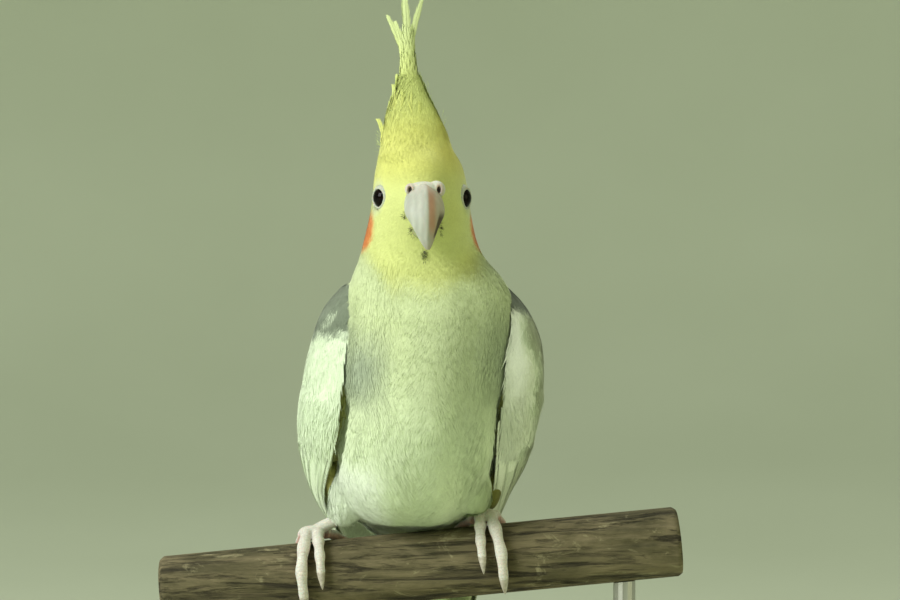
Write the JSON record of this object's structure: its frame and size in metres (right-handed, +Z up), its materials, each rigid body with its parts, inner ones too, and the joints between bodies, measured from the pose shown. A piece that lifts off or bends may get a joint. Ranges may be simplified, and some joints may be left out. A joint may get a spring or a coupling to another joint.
{
  "type": "cockatiel model",
  "caption": "Life-size cockatiel with raised crest, perched upright on a short branch held by two rods over a flat display base.",
  "frame": {"origin": "middle of the underside of the stand's base", "axes": "+Z up, -Y the way the bird faces, +X the bird's left"},
  "size_m": [0.176, 0.1507, 0.346],
  "materials": {
    "face_feathers": "soft matt feathers, pale lemon yellow with an orange cheek patch",
    "crest_feathers": "thin matt feathers, lemon yellow, greyer at the roots and edges",
    "body_feathers": "soft matt feathers, cream white tinged yellow, with a faint grey smudge on the breast",
    "wing_feathers": "smooth matt feathers, white with grey at the shoulder",
    "tail_feathers": "smooth matt feathers, pale yellow",
    "bill_horn": "smooth horn, pale grey with a pinkish tinge",
    "cere_skin": "bare skin, greyish pink",
    "eye_dark": "wet glossy dark brown, nearly black",
    "foot_skin": "scaly skin, pinkish grey",
    "claw_horn": "smooth pale horn",
    "perch_wood": "weathered branch, olive brown, matt",
    "base_wood": "satin oiled wood",
    "rod_metal": "satin steel"
  },
  "bodies": {
    "root": {"head": "face_feathers", "crest": "crest_feathers", "neck": "body_feathers", "torso": "body_feathers", "leg_left": "body_feathers", "leg_right": "body_feathers", "wing_left": "wing_feathers", "wing_right": "wing_feathers", "tail": "tail_feathers", "bill_upper": "bill_horn", "bill_lower": "bill_horn", "cere": "cere_skin", "eye_left": "eye_dark", "eye_right": "eye_dark", "foot_left": "foot_skin", "foot_right": "foot_skin", "claw_left_inner_back": "claw_horn", "claw_left_inner_front": "claw_horn", "claw_left_outer_back": "claw_horn", "claw_left_outer_front": "claw_horn", "claw_right_inner_back": "claw_horn", "claw_right_inner_front": "claw_horn", "claw_right_outer_back": "claw_horn", "claw_right_outer_front": "claw_horn", "perch": "perch_wood", "stand_base": "base_wood", "stand_rod_left": "rod_metal", "stand_rod_right": "rod_metal"}
  },
  "joints": []
}
